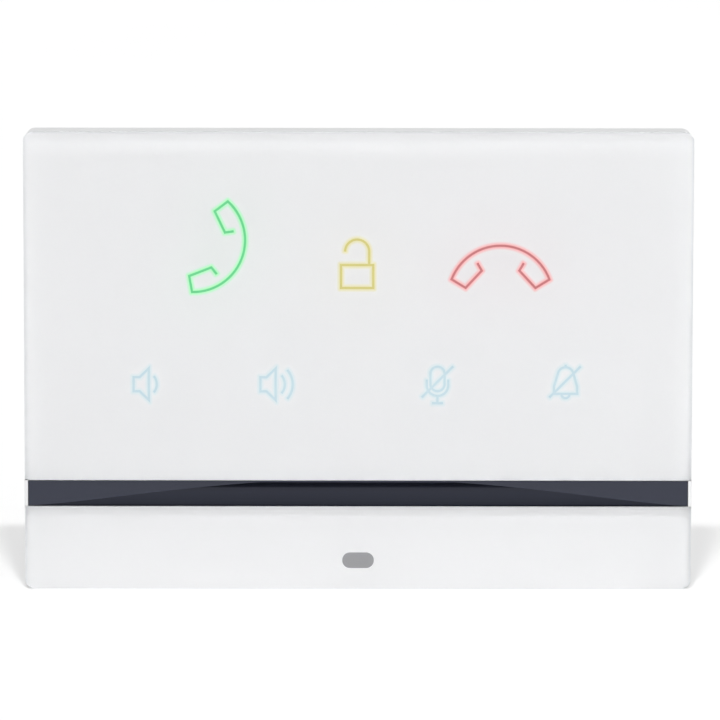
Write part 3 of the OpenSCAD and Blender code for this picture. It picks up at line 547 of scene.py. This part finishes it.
NORMALS = crisp_normals(math.radians(32))
SCOOP_NORMALS = crisp_normals(math.radians(14))  # the scoop's creases are flatter than other edges
WELD_GAP = 0.002 * MM


def soften(name):
    """Joins a CAD node's split faces and shades it cleanly."""
    node = nodes[name]
    node.modifiers.new("join", "WELD").merge_threshold = WELD_GAP
    group = SCOOP_NORMALS if name == "sound_channel" else NORMALS
    node.modifiers.new("normals", "NODES").node_group = group
    node.modifiers.new("weighted", "WEIGHTED_NORMAL").keep_sharp = True


def press_into_glass(name, depth):
    """Sets a printed layer into the glass by a hair, as ink is bonded, so that no two faces share a plane."""
    shift = nodes[name].modifiers.new("bond", "DISPLACE")
    shift.direction = "Y"
    shift.mid_level = 0
    shift.strength = -depth


# ---- Light bleeding from the lit icons ----

PRINT_BOND = 0.03 * MM
HALO_BOND = 0.045 * MM
ICON_BOND = 0.06 * MM
HALO_REACH = 0.75 * MM
HALO_PITCH = 0.15 * MM


def make_halo(name):
    """A fine sheet round an icon's lines. Each point has its distance from them, as a share of HALO_REACH."""
    source = nodes[name].data
    lines = BVHTree.FromPolygons([v.co for v in source.vertices], [p.vertices for p in source.polygons])
    low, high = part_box(name)
    columns = math.ceil((high.x - low.x + 2 * HALO_REACH) / HALO_PITCH)
    rows = math.ceil((high.z - low.z + 2 * HALO_REACH) / HALO_PITCH)
    points = []
    reach = []
    for row in range(rows + 1):
        for column in range(columns + 1):
            x = low.x - HALO_REACH + column * HALO_PITCH
            z = low.z - HALO_REACH + row * HALO_PITCH
            points.append(Vector((x, low.y, z)))
            reach.append(lines.find_nearest(points[-1])[3] / HALO_REACH)
    faces = []
    for row in range(rows):
        for column in range(columns):
            corner = row * (columns + 1) + column
            face = (corner, corner + 1, corner + columns + 2, corner + columns + 1)
            if min(reach[i] for i in face) < 1:
                faces.append(face)
    used = sorted({i for face in faces for i in face})
    number = {old: new for new, old in enumerate(used)}
    mesh = bpy.data.meshes.new(name.replace("_icon", "_halo"))
    back = Vector((0, -HALO_BOND, 0))
    mesh.from_pydata([points[i] + back for i in used], [], [[number[i] for i in face] for face in faces])
    values = mesh.attributes.new("reach", "FLOAT", "POINT")
    values.data.foreach_set("value", [min(reach[i], 1.0) for i in used])
    halo = add(mesh.name, mesh)
    paint(halo, HALOS[slot_of(name)])
    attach(halo, "unit")


# ---- Studio ----

SUN_ELEVATION = math.radians(50)
SUN_AZIMUTH = math.radians(9)
SUN_WIDTH = math.radians(4)
SUN_POWER = 1.0
SOFTBOX_AT = (0.5, -0.45, 0.02)
SOFTBOX_SIZE = 0.5
SOFTBOX_POWER = 0.8
SKY_AT_HORIZON = 1.0
SKY_OVERHEAD = 0.4
FLOOR_HALF = 6


def add_light(name, kind, place, power):
    """A light at this place, aimed at the middle of the unit."""
    data = bpy.data.lights.new(name, kind)
    data.energy = power
    light = add(name, data)
    light.location = place
    aim(light, Vector((0, 0, 0)))
    return light


def make_floor():
    low = cad_box[0].z
    mesh = bpy.data.meshes.new("floor")
    corners = [(x * FLOOR_HALF, y * FLOOR_HALF, low) for x, y in ((-1, -1), (1, -1), (1, 1), (-1, 1))]
    mesh.from_pydata(corners, [], [(0, 1, 2, 3)])
    floor = add("floor", mesh)
    g = Graph("floor")
    tone = g.noise(0.2)
    paint(floor, g.finish(
        Base_Color=g.mix(tone, (0.94, 0.94, 0.94, 1), (0.96, 0.96, 0.96, 1)),
        Roughness=g.spread(tone, 0, 1, 0.85, 0.95),
    ))


def make_sky():
    """A white surround that is dimmer overhead."""
    world = bpy.data.worlds.new("studio")
    world.use_nodes = True
    sky = world.node_tree
    direction = sky.nodes.new("ShaderNodeTexCoord").outputs["Generated"]
    height = sky.nodes.new("ShaderNodeSeparateXYZ")
    dim = sky.nodes.new("ShaderNodeMapRange")
    dim.inputs["To Min"].default_value = SKY_AT_HORIZON
    dim.inputs["To Max"].default_value = SKY_OVERHEAD
    sky.links.new(direction, height.inputs[0])
    sky.links.new(height.outputs["Z"], dim.inputs["Value"])
    sky.links.new(dim.outputs[0], sky.nodes["Background"].inputs["Strength"])
    sky.nodes["Background"].inputs["Color"].default_value = (1, 1, 1, 1)
    bpy.context.scene.world = world


def make_lights():
    """Two suns from above, which show in no reflection, and a softbox at the right."""
    for side in (-1, 1):
        from_above = Vector((
            side * math.sin(SUN_AZIMUTH) * math.cos(SUN_ELEVATION),
            -math.cos(SUN_AZIMUTH) * math.cos(SUN_ELEVATION),
            math.sin(SUN_ELEVATION),
        ))
        sun = add_light("key", "SUN", from_above, SUN_POWER)
        sun.data.angle = SUN_WIDTH
        sun.visible_glossy = False
    softbox = add_light("side softbox", "AREA", SOFTBOX_AT, SOFTBOX_POWER)
    softbox.data.size = SOFTBOX_SIZE


make_camera()
dress()
for name in nodes:
    soften(name)
for name in ("touch_print", "lower_print"):
    press_into_glass(name, PRINT_BOND)
for name in ICONS + ["badge"]:
    press_into_glass(name, ICON_BOND)
for name in ICONS:
    make_halo(name)
make_floor()
make_sky()
make_lights()
bpy.context.scene.view_settings.view_transform = "Standard"
